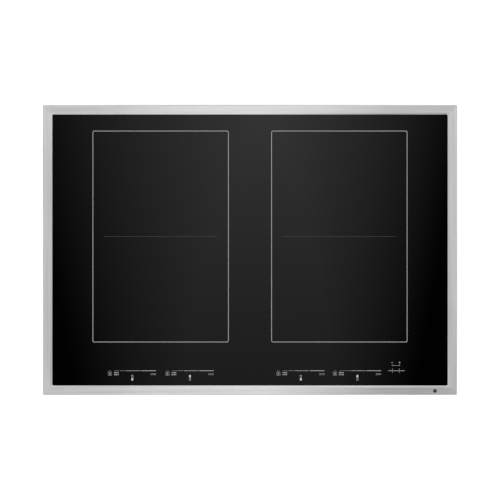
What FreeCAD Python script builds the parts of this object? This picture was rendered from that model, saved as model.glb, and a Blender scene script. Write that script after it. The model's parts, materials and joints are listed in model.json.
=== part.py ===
import FreeCAD, Part
import math
import os
import Sketcher
from FreeCAD import Placement, Rotation, Vector

# Drop-in electric induction cooktop, 30 inch class, in millimetres.
# The origin is the middle of the cut-out, on the top of the worktop: +X right, +Y rear, +Z up.
# Every z below is measured from the worktop's top face, where the foam gasket's underside lies.

# ---------------------------------------------------------------- driving dimensions
DIMENSIONS = {
    # steel trim round the glass
    "overall_width": 784,
    "overall_depth": 549,
    "trim_bottom": 0.5,
    "trim_top": 9,
    "trim_sheet": 1,
    "trim_corner": 2.6,
    "trim_edge_round": 2.2,
    "window_width": 747.5,
    "window_depth": 512.5,
    "window_corner": 2.5,
    "lip_width": 3.6,
    "lip_drop": 0.85,
    "badge_diameter": 7,
    "badge_height": 0.25,
    "badge_x": 349.5,
    "badge_y": -266.3,
    # glass, its bond and the frame that carries it
    "glass_width": 776,
    "glass_depth": 541,
    "glass_thickness": 4,
    "glass_corner": 3,
    "glass_edge": 0.4,
    "bond_thickness": 1,
    "bond_width": 8,
    "bond_inset": 2,
    "flange_width": 780,
    "flange_depth": 545,
    "flange_thickness": 1,
    "leg_bottom": -14,
    "leg_clearance": 0.2,
    "skirt_corner": 1,
    "corner_relief": 3,
    "gasket_thickness": 2,
    "gasket_width": 10,
    # burner box
    "box_width": 728,
    "box_depth": 493,
    "box_corner": 3,
    "box_bend": 2,
    "box_seam": 0.2,
    "box_sheet": 1.2,
    "box_bottom": -93,
    "box_top": 1.8,
    "groove_length": 420,
    "groove_width": 9,
    "groove_depth": 0.6,
    "groove_pitch": 62,
    # printed lines on the glass
    "print_thickness": 0.06,
    "zone_line": 1.05,
    "zone_width": 256.2,
    "zone_depth": 398.8,
    "zone_corner": 2.6,
    "zone_x": 168.9,
    "zone_y": 25.5,
    "divider_length": 215,
    "divider_line": 0.5,
    # cooking coils, two on each spring-loaded deck
    "coil_spacing": 199.6,
    "coil_turns": 10,
    "coil_wire": 3.6,
    "coil_pitch": 4.4,
    "coil_inner_radius": 37,
    "coil_straight": 62,
    "deck_width": 282,
    "deck_depth": 414,
    "deck_sheet": 1.5,
    "deck_rim": 8,
    "deck_top": -11.5,
    "deck_corner": 6,
    "carrier_gap": 4.5,
    "carrier_plate": 2.5,
    "pad_top": 3.2,
    "mica_thickness": 0.5,
    "post_x": 129,
    "post_y": 182,
    "post_radius": 6,
    "post_top": -25,
    "spring_span": 40,
    "spring_strip": 12,
    "spring_sheet": 0.8,
    # power electronics on each side of the box
    "board_x": 175,
    "board_y": -90,
    "board_width": 230,
    "board_depth": 150,
    "board_bottom": -82,
    "board_sheet": 1.6,
    "fan_x": 150,
    "fan_y": 68,
    "fan_radius": 56,
    "fan_height": 32,
    "fan_wall": 2,
    "fan_inlet_radius": 38,
    "impeller_radius": 46,
    "impeller_height": 22,
    "impeller_blades": 30,
    # controls under the front of the glass
    "slider_y": -228.2,
    "slider_length": 78.6,
    "control_width": 585,
    "control_depth": 46,
    "control_x": 12,
    "control_y": -220,
    # hold-down clamps on both sides
    "clamp_x": 376,
    "bracket_bottom": -60,
    "bracket_top": -20,
    "bracket_sheet": 2,
    "bracket_width": 44,
    "foot_radius": 8,
    "foot_bottom": -50,
    "foot_top": -44,
    "clamp_thread": 3,
    "clamp_head_top": -86,
    "clamp_head_height": 5,
    # mains entry in the rear wall
    "inlet_x": 310,
    "inlet_z": -66,
    "inlet_radius": 11.1,
}
GLASS_BOTTOM = "(Size.gasket_thickness + Size.flange_thickness + Size.bond_thickness)"
GLASS_TOP = f"({GLASS_BOTTOM} + Size.glass_thickness)"
FLOOR = "(Size.box_bottom + Size.box_sheet)"
SIDES = {"left": -1, "right": 1}
ROWS = {"rear": 1, "front": -1}

doc = FreeCAD.newDocument("InductionCooktop")
sheet = doc.addObject("Spreadsheet::Sheet", "Size")
for row, (alias, value) in enumerate(DIMENSIONS.items(), start=1):
    sheet.set(f"A{row}", alias)
    sheet.set(f"B{row}", str(value))
    sheet.setAlias(f"B{row}", alias)
doc.recompute()
parts = []


# ---------------------------------------------------------------- helpers
def number(formula):
    """The value of a formula on the sheet's cells."""
    result = sheet.evalExpression(str(formula))
    return float(getattr(result, "Value", result))


def keep(shape_object, label):
    """Name a finished sub-part and list it for export."""
    shape_object.Label = label
    parts.append(shape_object)
    return shape_object


def bind(target, **formulas):
    """Bind the plain properties of an object to formulas."""
    for name, formula in formulas.items():
        target.setExpression(name, str(formula))


def put(target, x="0", y="0", z="0"):
    """Bind an object's position."""
    for axis, formula in zip("xyz", (x, y, z)):
        target.setExpression(f".Placement.Base.{axis}", str(formula))
    return target


def new_body(label):
    body = doc.addObject("PartDesign::Body", label)
    body.AllowCompound = True
    return keep(body, label)


def sketch_on(body, role, offset="0", x="0", y="0"):
    """A sketch on one of the body's origin planes, moved along its normal and its own axes."""
    sketch = body.newObject("Sketcher::SketchObject", f"{body.Label}_sketch")
    origin_plane = next(item for item in body.Origin.OriginFeatures if item.Role == role)
    sketch.AttachmentSupport = [(origin_plane, "")]
    sketch.MapMode = "FlatFace"
    for axis, formula in zip("xyz", (x, y, offset)):
        sketch.setExpression(f".AttachmentOffset.Base.{axis}", str(formula))
    return sketch


def dimension(sketch, kind, *geometry, formula):
    """A driving dimension bound to a formula."""
    index = sketch.addConstraint(Sketcher.Constraint(kind, *geometry, number(formula)))
    sketch.setExpression(f"Constraints[{index}]", str(formula))


def rounded_rectangle(sketch, width, depth, radius):
    """A rectangle about the sketch's origin, with an arc at each corner."""
    half_x, half_y, r = number(width) / 2, number(depth) / 2, number(radius)
    corners = [(-1, -1), (1, -1), (1, 1), (-1, 1)]
    first = sketch.GeometryCount
    for index, (sx, sy) in enumerate(corners):
        nx, ny = corners[(index + 1) % 4]
        along = Vector(nx - sx, ny - sy, 0).normalize() * r
        start = Vector(sx * half_x, sy * half_y, 0) + along
        end = Vector(nx * half_x, ny * half_y, 0) - along
        sketch.addGeometry(Part.LineSegment(start, end))
    for index, (sx, sy) in enumerate(corners[1:] + corners[:1]):
        centre = Vector(sx * (half_x - r), sy * (half_y - r), 0)
        turn = math.radians(-90 + 90 * index)
        circle = Part.Circle(centre, Vector(0, 0, 1), r)
        sketch.addGeometry(Part.ArcOfCircle(circle, turn, turn + math.pi / 2))
    lines = [first + index for index in range(4)]
    arcs = [first + 4 + index for index in range(4)]
    add = sketch.addConstraint
    for index in range(4):
        add(Sketcher.Constraint("Tangent", lines[index], 2, arcs[index], 1))
        add(Sketcher.Constraint("Tangent", arcs[index], 2, lines[(index + 1) % 4], 1))
    add(Sketcher.Constraint("Horizontal", lines[0]))
    add(Sketcher.Constraint("Vertical", lines[1]))
    for index in range(3):
        add(Sketcher.Constraint("Equal", arcs[index], arcs[index + 1]))
    add(Sketcher.Constraint("Symmetric", arcs[0], 3, arcs[2], 3, -1, 1))
    dimension(sketch, "Radius", arcs[0], formula=radius)
    dimension(sketch, "DistanceX", arcs[2], 3, arcs[0], 3, formula=f"({width}) - 2 * ({radius})")
    dimension(sketch, "DistanceY", arcs[0], 3, arcs[2], 3, formula=f"({depth}) - 2 * ({radius})")


def circle(sketch, radius, x="0", y="0"):
    """A circle, placed from the sketch's origin."""
    centre = Vector(number(x), number(y), 0)
    index = sketch.addGeometry(Part.Circle(centre, Vector(0, 0, 1), number(radius)))
    dimension(sketch, "Radius", index, formula=radius)
    dimension(sketch, "DistanceX", -1, 1, index, 3, formula=x)
    dimension(sketch, "DistanceY", -1, 1, index, 3, formula=y)


def pad(body, sketch, length, reverse=False, symmetric=False):
    feature = body.newObject("PartDesign::Pad", f"{body.Label}_pad")
    feature.Profile = sketch
    feature.Reversed = reverse
    feature.Midplane = symmetric
    bind(feature, Length=length)
    doc.recompute()
    return feature


def pocket(body, sketch, length, reverse=False, symmetric=False):
    """A pocket, proved to have cut something."""
    before = body.Shape.Volume
    feature = body.newObject("PartDesign::Pocket", f"{body.Label}_pocket")
    feature.Profile = sketch
    feature.Reversed = reverse
    feature.Midplane = symmetric
    feature.Refine = False
    bind(feature, Length=length)
    doc.recompute()
    if feature.Shape.Volume > before - 1e-3:
        raise RuntimeError(f"{feature.Label} cuts nothing")
    return feature


def polar(body, original, sketch, count):
    """Repeat a feature round its own sketch's origin."""
    pattern = body.newObject("PartDesign::PolarPattern", f"{body.Label}_polar")
    pattern.Originals = [original]
    pattern.Axis = (sketch, ["N_Axis"])
    pattern.Angle = 360
    pattern.Refine = False
    bind(pattern, Occurrences=count)
    body.Tip = pattern
    doc.recompute()
    return pattern


def linear(body, original, sketch, axis, pitch, count):
    """Repeat a feature along one of its own sketch's axes."""
    pattern = body.newObject("PartDesign::LinearPattern", f"{body.Label}_row")
    pattern.Originals = [original]
    pattern.Direction = (sketch, [axis])
    pattern.Occurrences = count
    pattern.Refine = False
    bind(pattern, Length=f"({pitch}) * {count - 1}")
    body.Tip = pattern
    doc.recompute()
    return pattern


def edges_at(shape, test):
    """Names of the edges that pass a test on their bounding box."""
    return [f"Edge{n}" for n, edge in enumerate(shape.Edges, start=1) if test(edge.BoundBox)]


def dress(body, kind, base, test, **formulas):
    """A fillet or chamfer on the edges of a feature that pass a test."""
    feature = body.newObject(f"PartDesign::{kind}", f"{body.Label}_{kind.lower()}")
    feature.Base = (base, edges_at(base.Shape, test))
    bind(feature, **formulas)
    doc.recompute()
    return feature


def box(name, size, centre, bottom):
    """A block from its width, depth and height, its middle in plan and its underside."""
    block = doc.addObject("Part::Box", name)
    width, depth, height = size
    bind(block, Length=width, Width=depth, Height=height)
    return put(block, f"({centre[0]}) - ({width}) / 2", f"({centre[1]}) - ({depth}) / 2", bottom)


def rod(name, radius, height, centre, bottom):
    """An upright cylinder from its middle in plan and its underside."""
    cylinder = doc.addObject("Part::Cylinder", name)
    bind(cylinder, Radius=radius, Height=height)
    return put(cylinder, centre[0], centre[1], bottom)


def fuse(name, *members):
    joined = doc.addObject("Part::MultiFuse", name)
    joined.Shapes = list(members)
    return joined


def cut(name, base, tool):
    result = doc.addObject("Part::Cut", name)
    result.Base = base
    result.Tool = tool
    return result


def common(name, first, second):
    shared = doc.addObject("Part::Common", name)
    shared.Base = first
    shared.Tool = second
    return shared


def group(name, members):
    """Separate solids that share one sub-part."""
    compound = doc.addObject("Part::Compound", name)
    compound.Links = list(members)
    return compound


def ring_plate(label, width, depth, corner, rim, bottom, height):
    """A flat rectangular ring."""
    body = new_body(label)
    sketch = sketch_on(body, "XY_Plane", bottom)
    rounded_rectangle(sketch, width, depth, corner)
    rounded_rectangle(sketch, f"({width}) - 2 * ({rim})", f"({depth}) - 2 * ({rim})", corner)
    pad(body, sketch, height)
    return body


# ---------------------------------------------------------------- glass top
def make_trim_frame():
    """Steel trim: a flat sheet that laps the glass, a skirt outside, a sloped lip inside."""
    body = new_body("trim_frame")
    sketch = sketch_on(body, "XY_Plane", "Size.trim_bottom")
    rounded_rectangle(sketch, "Size.overall_width", "Size.overall_depth", "Size.trim_corner")
    pad(body, sketch, "Size.trim_top - Size.trim_bottom")
    hollow = sketch_on(body, "XY_Plane", "Size.trim_bottom")
    sheet_inset = "2 * Size.trim_sheet"
    rounded_rectangle(
        hollow,
        f"Size.overall_width - {sheet_inset}",
        f"Size.overall_depth - {sheet_inset}",
        "Size.trim_corner - Size.trim_sheet",
    )
    pocket(body, hollow, "Size.trim_top - Size.trim_bottom - Size.trim_sheet", reverse=True)
    window = sketch_on(body, "XY_Plane", "Size.trim_top")
    rounded_rectangle(window, "Size.window_width", "Size.window_depth", "Size.window_corner")
    opened = pocket(body, window, "2 * Size.trim_sheet")
    top = number("Size.trim_top")
    window_x, window_y = number("Size.window_width / 2"), number("Size.window_depth / 2")
    outer_x, outer_y = number("Size.overall_width / 2"), number("Size.overall_depth / 2")

    def on_top(bounds):
        return abs(bounds.ZMin - top) < 1e-6 and abs(bounds.ZMax - top) < 1e-6

    def reach(bounds):
        return max(bounds.XMax, -bounds.XMin), max(bounds.YMax, -bounds.YMin)

    def window_edge(bounds):
        x, y = reach(bounds)
        return on_top(bounds) and x < window_x + 1 and y < window_y + 1

    lip = body.newObject("PartDesign::Chamfer", "trim_lip")
    lip.Base = (opened, edges_at(opened.Shape, window_edge))
    lip.ChamferType = "Two distances"
    bind(lip, Size="Size.lip_width", Size2="Size.lip_drop")
    doc.recompute()

    def outer_edge(bounds):
        x, y = reach(bounds)
        return on_top(bounds) and (x > outer_x - 1e-3 or y > outer_y - 1e-3)

    rolled = dress(body, "Fillet", lip, outer_edge, Radius="Size.trim_edge_round")
    sheet = number("Size.trim_sheet")

    def inner_edge(bounds):
        x, y = reach(bounds)
        level = abs(bounds.ZMin - top + sheet) < 1e-6 and abs(bounds.ZMax - top + sheet) < 1e-6
        return level and (x > outer_x - sheet - 1e-3 or y > outer_y - sheet - 1e-3)

    dress(body, "Fillet", rolled, inner_edge, Radius="Size.trim_edge_round - Size.trim_sheet")


def make_glass_panel():
    body = new_body("glass_panel")
    sketch = sketch_on(body, "XY_Plane", GLASS_BOTTOM)
    rounded_rectangle(sketch, "Size.glass_width", "Size.glass_depth", "Size.glass_corner")
    plate = pad(body, sketch, "Size.glass_thickness")
    top = number(GLASS_TOP)
    dress(body, "Chamfer", plate, lambda b: b.ZMin > top - 1e-6, Size="Size.glass_edge")


def make_glass_support():
    """Bond bead, flat frame with four legs folded down from it, and the gasket on the worktop."""
    ring_plate(
        "glass_sealant",
        "Size.glass_width - 2 * Size.bond_inset",
        "Size.glass_depth - 2 * Size.bond_inset",
        "Size.glass_corner",
        "Size.bond_width",
        "Size.gasket_thickness + Size.flange_thickness",
        "Size.bond_thickness",
    )
    ring_plate(
        "worktop_gasket",
        "Size.glass_width",
        "Size.glass_depth",
        "Size.glass_corner",
        "Size.gasket_width",
        "0",
        "Size.gasket_thickness",
    )
    gap = "2 * (Size.box_sheet + Size.leg_clearance)"
    leg_width, leg_depth = f"Size.box_width - {gap}", f"Size.box_depth - {gap}"
    wall = "2 * Size.flange_thickness"
    frame = new_body("support_frame")
    flange = sketch_on(frame, "XY_Plane", "Size.gasket_thickness")
    rounded_rectangle(flange, "Size.flange_width", "Size.flange_depth", "Size.glass_corner")
    rounded_rectangle(flange, f"{leg_width} - {wall}", f"{leg_depth} - {wall}", "Size.skirt_corner")
    pad(frame, flange, "Size.flange_thickness")
    skirt = new_body("support_skirt")
    leg = sketch_on(skirt, "XY_Plane", "Size.leg_bottom")
    rounded_rectangle(leg, leg_width, leg_depth, "Size.skirt_corner + Size.flange_thickness")
    rounded_rectangle(leg, f"{leg_width} - {wall}", f"{leg_depth} - {wall}", "Size.skirt_corner")
    leg_height = "Size.gasket_thickness - Size.leg_bottom"
    pad(skirt, leg, leg_height)
    relief = sketch_on(skirt, "XY_Plane", "Size.gasket_thickness")
    for x_side in (-1, 1):
        for y_side in (-1, 1):
            corner = (f"{x_side} * ({leg_width}) / 2", f"{y_side} * ({leg_depth}) / 2")
            circle(relief, "Size.corner_relief", *corner)
    pocket(skirt, relief, leg_height)
    drill_case_holes(skirt)


CASE_SCREW_Z = "-7"
CASE_SCREW_X = (-260, 0, 260)
CASE_SCREW_Y = (-160, 160)
CASE_SCREW_HOLE = "2.1"


def drill_case_holes(body):
    """Matching holes for the case screws through all four walls."""
    for role, places in (("XZ_Plane", CASE_SCREW_X), ("YZ_Plane", CASE_SCREW_Y)):
        sketch = sketch_on(body, role)
        for place in places:
            circle(sketch, CASE_SCREW_HOLE, str(place), CASE_SCREW_Z)
        pocket(body, sketch, "Size.overall_width", symmetric=True)


def make_trim_badge():
    body = new_body("trim_badge")
    sketch = sketch_on(body, "XY_Plane", "Size.trim_top", "Size.badge_x", "Size.badge_y")
    circle(sketch, "Size.badge_diameter / 2")
    disc = pad(body, sketch, "Size.badge_height")
    top = number("Size.trim_top + Size.badge_height")
    dress(body, "Fillet", disc, lambda b: b.ZMin > top - 1e-6, Radius="Size.badge_height / 2")


# ---------------------------------------------------------------- printed graphics
def make_zone_markings():
    """One thin outline round each pair of coils, and a fine dark line between the two."""
    body = new_body("zone_markings")
    dividers = new_body("zone_dividers")
    for side in SIDES.values():
        outline = sketch_on(body, "XY_Plane", GLASS_TOP, f"{side} * Size.zone_x", "Size.zone_y")
        for change in ("+", "-"):
            rounded_rectangle(
                outline,
                f"Size.zone_width {change} Size.zone_line",
                f"Size.zone_depth {change} Size.zone_line",
                f"Size.zone_corner {change} Size.zone_line / 2",
            )
        pad(body, outline, "Size.print_thickness")
        divider = sketch_on(dividers, "XY_Plane", GLASS_TOP, f"{side} * Size.zone_x", "Size.zone_y")
        rounded_rectangle(divider, "Size.divider_length", "Size.divider_line", "Size.divider_line / 4")
        pad(dividers, divider, "Size.print_thickness")


def printed_bar(name, x, y, width, height):
    """A printed rectangle from its middle."""
    return box(name, (width, height, "Size.print_thickness"), (x, y), GLASS_TOP)


def printed_frame(name, x, y, width, height, line):
    """A printed outline of a rectangle."""
    outer = printed_bar(f"{name}_outer", x, y, width, height)
    inner = printed_bar(f"{name}_inner", x, y, f"{width} - 2 * {line}", f"{height} - 2 * {line}")
    return cut(name, outer, inner)


def printed_arch(name, x, y, radius, line):
    """The upper half of a printed ring."""
    outer = rod(f"{name}_outer", f"{radius} + {line} / 2", "Size.print_thickness", (x, y), GLASS_TOP)
    inner = rod(f"{name}_inner", f"{radius} - {line} / 2", "Size.print_thickness", (x, y), GLASS_TOP)
    outer.Angle = 180
    return cut(name, outer, inner)


# Each slider's four segments: start, length and line, as shares of the slider and in millimetres.
SLIDER_SEGMENTS = ((0.0, 0.125, 0.28), (0.137, 0.139, 0.38), (0.29, 0.335, 0.72), (0.649, 0.351, 1.0))
SLIDER_STARTS = {"left_outer": -256.4, "left_inner": -147.4, "right_inner": 62.2, "right_outer": 169.1}
FRONT_ZONE_SLIDERS = ("left_outer", "right_inner")
# Symbols under each slider. Places are from the slider's left end and its line.
LOCK_X, LOCK_Y, LOCK_WIDTH, LOCK_HEIGHT, LOCK_LINE = -8.5, -5.7, 7, 5.9, 0.3
SHACKLE_Y, SHACKLE_RADIUS = -2.5, 2.4
LOCK_CORE_WIDTH, LOCK_CORE_HEIGHT = 2.1, 2.7
KEYPAD_X, KEYPAD_Y, KEY_WIDTH, KEY_HEIGHT = 3.6, -5.4, 1.25, 2.1
KEYPAD_COLUMNS, KEYPAD_PITCH_X, KEYPAD_PITCH_Y = (-1.5, -0.5, 0.5, 1.5), 2.35, 3.6
LEVEL_X, LEVEL_Y, LEVEL_WIDTH, LEVEL_HEIGHT = 73.8, -6.4, 0.5, 3.5
LEVEL_STROKES, LEVEL_PITCH = (-2, -1, 0, 1, 2), 2.1
ICON_X, ICON_Y, ICON_WIDTH, ICON_HEIGHT, ICON_LINE = 33.9, -13.3, 3, 10.2, 0.4
ICON_FULL_HEIGHT, ICON_GAP = 3.9, 0.4


def make_slider_graphics(key, start):
    """One touch slider: growing bar, lock, timer keypad, level strokes and its zone's icon."""

    def place(x, y):
        return f"{start} + {x}", f"Size.slider_y + {y}"

    marks = []
    for index, (share, length, line) in enumerate(SLIDER_SEGMENTS):
        middle = share + length / 2
        x = f"{start} + {middle} * Size.slider_length"
        marks.append(
            printed_bar(f"{key}_bar_{index}", x, "Size.slider_y", f"{length} * Size.slider_length", line)
        )
    lock = place(LOCK_X, LOCK_Y)
    marks.append(printed_frame(f"{key}_lock", *lock, LOCK_WIDTH, LOCK_HEIGHT, LOCK_LINE))
    marks.append(printed_bar(f"{key}_lock_core", *lock, LOCK_CORE_WIDTH, LOCK_CORE_HEIGHT))
    shackle = place(LOCK_X, SHACKLE_Y)
    marks.append(printed_arch(f"{key}_shackle", *shackle, SHACKLE_RADIUS, LOCK_LINE))
    for row in (-0.5, 0.5):
        for column in KEYPAD_COLUMNS:
            spot = place(KEYPAD_X + column * KEYPAD_PITCH_X, KEYPAD_Y + row * KEYPAD_PITCH_Y)
            marks.append(printed_bar(f"{key}_keypad", *spot, KEY_WIDTH, KEY_HEIGHT))
    for stroke in LEVEL_STROKES:
        spot = place(LEVEL_X + stroke * LEVEL_PITCH, LEVEL_Y)
        marks.append(printed_bar(f"{key}_level", *spot, LEVEL_WIDTH, LEVEL_HEIGHT))
    full_end = -1 if key in FRONT_ZONE_SLIDERS else 1
    full = place(ICON_X, ICON_Y + full_end * (ICON_HEIGHT - ICON_FULL_HEIGHT) / 2)
    marks.append(printed_bar(f"{key}_icon_full", *full, ICON_WIDTH, ICON_FULL_HEIGHT))
    empty_height = ICON_HEIGHT - ICON_FULL_HEIGHT - ICON_GAP
    empty = place(ICON_X, ICON_Y - full_end * (ICON_HEIGHT - empty_height) / 2)
    marks.append(printed_frame(f"{key}_icon_empty", *empty, ICON_WIDTH, empty_height, ICON_LINE))
    return marks


def make_timer_graphics():
    """The timer's base line and ticks, with minus and plus on a bracket above it."""
    y = "Size.slider_y"
    bars = {
        "timer_line": ("276.8", y, "31.1", "0.8"),
        "timer_tick_left": ("269.2", y, "0.5", "8.5"),
        "timer_tick_right": ("282.2", y, "0.5", "8.5"),
        "timer_minus": ("268.6", f"{y} + 15.4", "3.4", "0.7"),
        "timer_plus_across": ("282.8", f"{y} + 15.4", "3.8", "0.7"),
        "timer_plus_upper": ("282.8", f"{y} + 16.5", "0.7", "1.5"),
        "timer_plus_lower": ("282.8", f"{y} + 14.3", "0.7", "1.5"),
        "timer_bracket": ("275.7", f"{y} + 9.8", "14.7", "0.5"),
        "timer_bracket_left": ("268.6", f"{y} + 11.15", "0.5", "2.2"),
        "timer_bracket_right": ("282.8", f"{y} + 11.15", "0.5", "2.2"),
    }
    return [printed_bar(name, *place) for name, place in bars.items()]


def make_control_markings():
    marks = make_timer_graphics()
    for key, start in SLIDER_STARTS.items():
        marks += make_slider_graphics(key, start)
    keep(group("control_markings", marks), "control_markings")


# ---------------------------------------------------------------- burner box
FAN_HOLE_RINGS = ((6, 9.5), (12, 19), (18, 28.5), (24, 37))


def make_burner_box():
    """Steel box that hangs from the legs: a floor pan and four wall sheets, with hairline seams."""
    tray = doc.addObject("PartDesign::Body", "burner_tray")
    tray.AllowCompound = True
    outer = sketch_on(tray, "XY_Plane", "Size.box_bottom")
    rounded_rectangle(outer, "Size.box_width", "Size.box_depth", "Size.box_corner")
    block = pad(tray, outer, "Size.box_top - Size.box_bottom")
    low = number("Size.box_bottom")
    dress(tray, "Fillet", block, lambda b: b.ZMax < low + 1e-6, Radius="Size.box_bend")
    hollow = sketch_on(tray, "XY_Plane", "Size.box_top")
    walls = "2 * Size.box_sheet"
    rounded_rectangle(
        hollow,
        f"Size.box_width - {walls}",
        f"Size.box_depth - {walls}",
        "Size.box_corner - Size.box_sheet",
    )
    pocket(tray, hollow, f"Size.box_top - {FLOOR}")
    drill_case_holes(tray)
    cut_floor_grilles(tray)
    cut_wall_vents(tray)
    cut_floor_grooves(tray)
    inlet = sketch_on(tray, "XZ_Plane", "-Size.box_depth / 2 - 1")
    circle(inlet, "Size.inlet_radius + 3", "Size.inlet_x", "Size.inlet_z")
    pocket(tray, inlet, "4 * Size.box_sheet", reverse=True)
    bracket_holes = sketch_on(tray, "YZ_Plane")
    for y in BRACKET_SCREW_Y:
        circle(bracket_holes, CASE_SCREW_HOLE, str(y), BRACKET_SCREW_Z)
    pocket(tray, bracket_holes, "Size.overall_width", symmetric=True)
    split_box_sheets(tray)


def split_box_sheets(tray):
    """The floor pan, the two side sheets with the rounded corners, and the flat front and rear."""
    pan_size = ("Size.box_width + 2", "Size.box_depth + 2", "Size.box_bend")
    pan = box("floor_region", pan_size, ("0", "0"), "Size.box_bottom")
    keep(common("box_floor", tray, pan), "box_floor")
    bottom = "(Size.box_bottom + Size.box_bend + Size.box_seam)"
    height = f"Size.box_top - {bottom}"
    reach = "(Size.box_corner + Size.box_seam)"
    sheets = []
    for name, sign in SIDES.items():
        middle = (f"{sign} * (Size.box_width - {reach}) / 2", "0")
        region = box(f"{name}_region", (reach, "Size.box_depth + 2", height), middle, bottom)
        sheets.append(common(f"{name}_sheet", tray, region))
    width = f"Size.box_width - 2 * ({reach} + Size.box_seam)"
    for name, sign in ROWS.items():
        middle = ("0", f"{sign} * (Size.box_depth - {reach}) / 2")
        region = box(f"{name}_region", (width, reach, height), middle, bottom)
        sheets.append(common(f"{name}_sheet", tray, region))
    keep(group("box_walls", sheets), "box_walls")


def cut_floor_grilles(body):
    """Rings of air holes in the floor under each fan."""
    for side in SIDES.values():
        for count, ring in FAN_HOLE_RINGS:
            sketch = sketch_on(body, "XY_Plane", FLOOR, f"{side} * Size.fan_x", "Size.fan_y")
            circle(sketch, "2.6", str(ring), "0")
            hole = pocket(body, sketch, "2 * Size.box_sheet")
            polar(body, hole, sketch, count)


def cut_wall_vents(body):
    """Slots for the warm air in the front wall, and a short row in each side wall."""
    for first_x in (-285, 75):
        sketch = sketch_on(body, "XZ_Plane", "Size.box_depth / 2 + 1", first_x, "-60")
        rounded_rectangle(sketch, "3.6", "34", "1.75")
        slot = pocket(body, sketch, "4 * Size.box_sheet")
        linear(body, slot, sketch, "H_Axis", "10", 22)
    side_sketch = sketch_on(body, "YZ_Plane", "0", "90", "-50")
    rounded_rectangle(side_sketch, "3.6", "30", "1.75")
    side_slot = pocket(body, side_sketch, "Size.overall_width", symmetric=True)
    linear(body, side_slot, side_sketch, "H_Axis", "10", 11)


def cut_floor_grooves(body):
    """Shallow stiffening grooves pressed into the underside."""
    sketch = sketch_on(body, "XY_Plane", "Size.box_bottom", "0", "-205")
    rounded_rectangle(sketch, "Size.groove_length", "Size.groove_width", "Size.groove_width / 2.05")
    groove = pocket(body, sketch, "Size.groove_depth", reverse=True)
    linear(body, groove, sketch, "V_Axis", "Size.groove_pitch", 4)


BRACKET_SCREW_Y = (-14, 14)
BRACKET_SCREW_Z = "-30"
SHANK_LENGTH = 3.2


def screw(name, base, direction):
    """A pan-head screw whose head bears on a wall, pointing inwards."""
    head = doc.addObject("Part::Cylinder", f"{name}_head")
    head.Radius = 3.6
    head.Height = 2
    recess = doc.addObject("Part::Cone", f"{name}_recess")
    recess.Radius1 = 0.6
    recess.Radius2 = 1.7
    recess.Height = 1.2
    shank = doc.addObject("Part::Cylinder", f"{name}_shank")
    shank.Radius = 1.8
    shank.Height = SHANK_LENGTH
    turn = Rotation(Vector(0, 0, 1), direction)
    head.Placement = Placement(base, turn)
    recess.Placement = Placement(base + direction * 0.81, turn)
    shank.Placement = Placement(base - direction * SHANK_LENGTH, turn)
    return cut(name, fuse(f"{name}_blank", head, shank), recess)


def make_case_screws():
    """Screws that join box and support frame, and the two that hold each clamp bracket."""
    wall_x, wall_y = number("Size.box_width / 2"), number("Size.box_depth / 2")
    plate = number("Size.bracket_sheet")
    level, bracket_level = number(CASE_SCREW_Z), number(BRACKET_SCREW_Z)
    screws = []
    for sign in (-1, 1):
        for x in CASE_SCREW_X:
            place = Vector(x, sign * wall_y, level)
            screws.append(screw(f"case_screw_{len(screws)}", place, Vector(0, sign, 0)))
        for y in CASE_SCREW_Y:
            place = Vector(sign * wall_x, y, level)
            screws.append(screw(f"case_screw_{len(screws)}", place, Vector(sign, 0, 0)))
        for y in BRACKET_SCREW_Y:
            place = Vector(sign * (wall_x + plate), y, bracket_level)
            screws.append(screw(f"case_screw_{len(screws)}", place, Vector(sign, 0, 0)))
    keep(group("case_screws", screws), "case_screws")


def make_mains_entry():
    """Blank rating plate and bushed cable hole on the rear wall, terminal block behind it."""
    plate = new_body("rating_plate")
    sketch = sketch_on(plate, "XZ_Plane", "-Size.box_depth / 2", "-230", "-52")
    rounded_rectangle(sketch, "96", "52", "3")
    pad(plate, sketch, "0.5", reverse=True)

    bushing = new_body("cable_bushing")
    flange = sketch_on(bushing, "XZ_Plane", "-Size.box_depth / 2", "Size.inlet_x", "Size.inlet_z")
    circle(flange, "Size.inlet_radius + 6.5")
    circle(flange, "Size.inlet_radius")
    pad(bushing, flange, "2.5", reverse=True)
    barrel = sketch_on(bushing, "XZ_Plane", "-Size.box_depth / 2", "Size.inlet_x", "Size.inlet_z")
    circle(barrel, "Size.inlet_radius + 2.8")
    circle(barrel, "Size.inlet_radius")
    pad(bushing, barrel, "9")

    base = box("terminal_base", ("44", "34", "22"), ("Size.inlet_x + 19", "200"), FLOOR)
    block = base
    for index in range(3):
        x = f"Size.inlet_x + 6 + {index} * 13"
        well = rod(f"terminal_well_{index}", "4", "9", (x, "200"), f"{FLOOR} + 14")
        block = cut(f"terminal_cut_{index}", block, well)
    keep(block, "terminal_block")


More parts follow.
